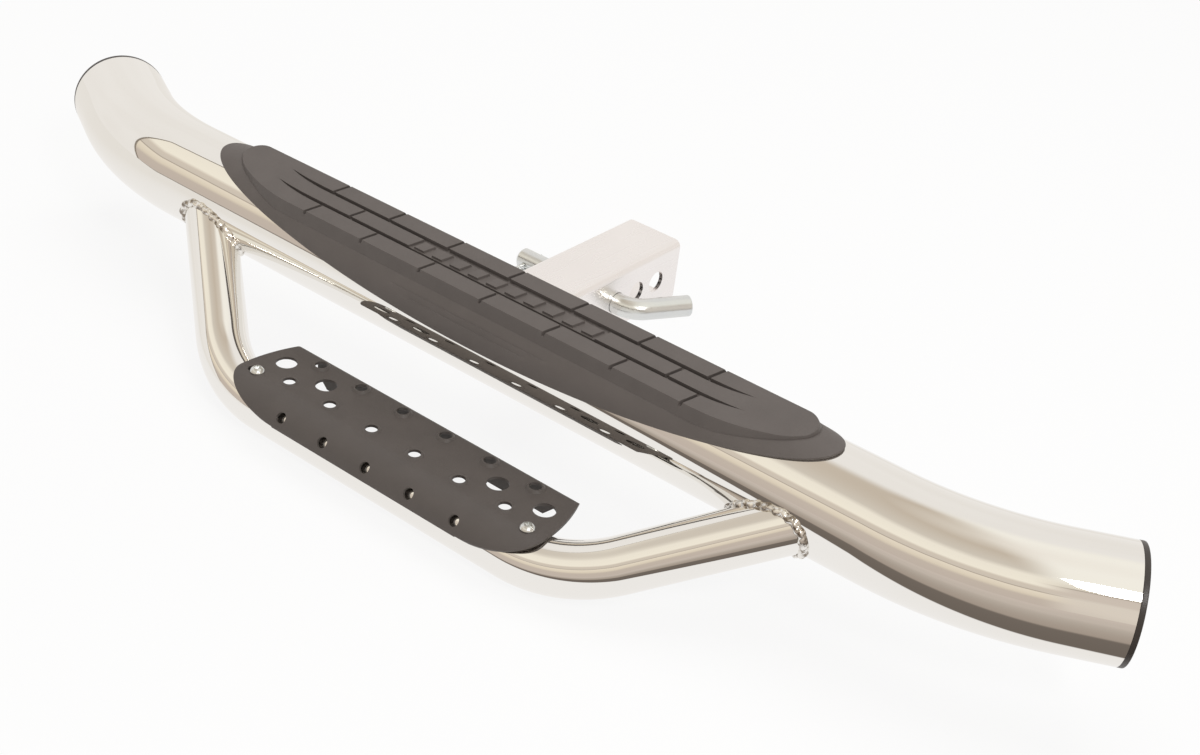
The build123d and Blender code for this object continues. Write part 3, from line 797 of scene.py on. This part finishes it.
def side_rows(edge, side):
    """Rows of one side of the pad, from below the tread's edge over the drafted side, the foot
    and the skirt to its rounded rim. The drafted side falls until its radius about the tube is
    the foot's. The skirt runs evenly from foot to rim in length and turn, with rows drawn
    together at each crease of the front side."""
    y = edge_at(edge, columns)
    for _ in range(3):
        x = columns + lean * y
        y = edge_at(edge, x)
    way = np.gradient(edge, axis=1)
    way /= np.hypot(*way)
    out_x = np.interp(np.abs(x), edge[0], side * -way[1] if side > 0 else way[1]) * np.sign(x)
    out_y = side * np.sqrt(np.clip(1 - out_x**2, 0, 1))
    a = 1 + (out_y * tread_draft) ** 2
    b = y * out_y * tread_draft - pad_top
    foot_depth = (-b - np.sqrt(b**2 - a * (y**2 + pad_top**2 - (skirt_foot - 0.5) ** 2))) / a
    rows = []
    for share in side_shares:
        depth = foot_depth * share
        out = tread_draft * depth + edge_round * min(share / edge_share, 1)
        row_x, row_y = x + out * out_x + lean * out * out_y, y + out * out_y
        rows.append(on_tread(row_x, row_y, np.minimum(-depth, -sunk_by(row_x, row_y))))
    foot = rows[-1] - np.array([0, *(tube_centre[1:] * 1e3)])
    foot_turn = np.arctan2(-foot[:, 1], foot[:, 2])
    beyond = np.clip((np.abs(columns) - spread_from) / (nose_tip - spread_from), 0, 1)
    spread_x = np.sign(x) * (spread_from + (skirt_half - spread_from) * beyond)
    rim_x = np.where(beyond > 0, spread_x, x)
    rim_x = rim_x + pad_centre + (skirt_centre - pad_centre) * beyond
    middle = (skirt_rim + skirt_inside) / 2
    ridge = middle * sin(skirt_turn / 2)
    drop = ridge * (1 - 2 * np.sqrt(np.clip(1 - ((rim_x - skirt_centre) / skirt_half) ** 2, 0, 1)))
    rim_turn = skirt_turn / 2 - np.arcsin(drop / middle)
    if side > 0:
        rim_turn = np.minimum(rim_turn, skirt_rear_turn)
    rim_turn = skirt_clock - side * rim_turn
    span = rim_turn - foot_turn
    even = np.linspace(0, 1, skirt_rows + 1)[1:]
    wide = np.where(-side * span > 0.05, np.abs(span), 1e-3)
    keys = sorted(turn + k * crease_half for turn in crease_turns for k in (-1, 0, 1))
    shares = np.repeat(even[:, None], len(columns), 1)
    if side < 0:
        for k, key in enumerate(keys, crease_row):
            shares[k] = np.clip((key - foot_turn) / wide, 0, even[k])
        shares = np.minimum.accumulate(shares[::-1])[::-1]
    ends = np.clip((crease_end - np.abs(columns)) / crease_fade, 0, 1)
    bottoms = [crease_row + 1 + 3 * k for k in range(len(crease_turns))]
    for k, share in enumerate(shares):
        radius = skirt_foot - 0.1 + (skirt_rim - skirt_foot + 0.1) * share
        if side < 0 and k in bottoms:
            radius = radius - crease_deep * ends * (share < even[k] - 1e-4)
        rows.append(on_round(foot[:, 0] + (rim_x - foot[:, 0]) * share, foot_turn + span * share, radius))
    run = np.stack([rim_x - foot[:, 0], span * skirt_rim])
    run /= np.hypot(*run)
    for out, radius in rim_rows:
        rows.append(on_round(rim_x + run[0] * out, rim_turn + run[1] * out / skirt_rim, radius))
    rows.append(on_round(rim_x, rim_turn, skirt_inside))
    return np.array(rows), rim_x, rim_turn


top = on_tread(top_x, top_y, -sunk_by(top_x, top_y))
rear_side, rear_x, rear_turn = side_rows(rear_edge, 1)
front_side, front_x, front_turn = side_rows(front_edge, -1)
share = np.linspace(0, 1, under_rows + 2)[1:-1, None]
under = on_round(
    rear_x + (front_x - rear_x) * share, rear_turn + (front_turn - rear_turn) * share, skirt_inside
)
make_piece(
    "step_pad_moulding",
    *skin(np.concatenate([top, rear_side, under, front_side[::-1]]) * 1e-3, True, False),
    pad_rubber,
    "pad",
    "step",
    ["step_pad"],
    crease=32.0,
    weld=2e-6,
)
dress(cap_plastic, "pad_clips")

# Lower step plate: one steel sheet, punched with flared holes, folded along its edges and powder
# coated in matte black. It lies on the drop tube's lower run.
plate_paint = finish_of(
    "matte_powder_coat",
    Base_Color=lambda b: noise(b, 60.0, 4.0).mix((0.075, 0.064, 0.058, 1), (0.098, 0.083, 0.075, 1)),
    Roughness=lambda b: noise(b, 700.0) * 0.15 + 0.45,
    Normal=lambda b: bump(b, noise(b, 1800.0, 2.0), 0.0001),
)
dress(plate_paint, "step_plate")

# Bright zinc-plated steel parts: two button-head screws that hold the plate, the rivet nuts in
# the drop tube that take them, and the bent hitch pin with its spring wire clip.
zinc = finish_of(
    "bright_zinc_plate",
    Base_Color=lambda b: noise(b, 40.0).mix((0.68, 0.71, 0.73, 1), (0.80, 0.80, 0.77, 1)),
    Metallic=1.0,
    Roughness=lambda b: noise(b, 160.0) * 0.12 + 0.18,
    Normal=lambda b: bump(b, noise(b, 400.0), 0.00005),
)
dress(zinc, "plate_screws", "rivet_nuts", "hitch_pin", "pin_clip")
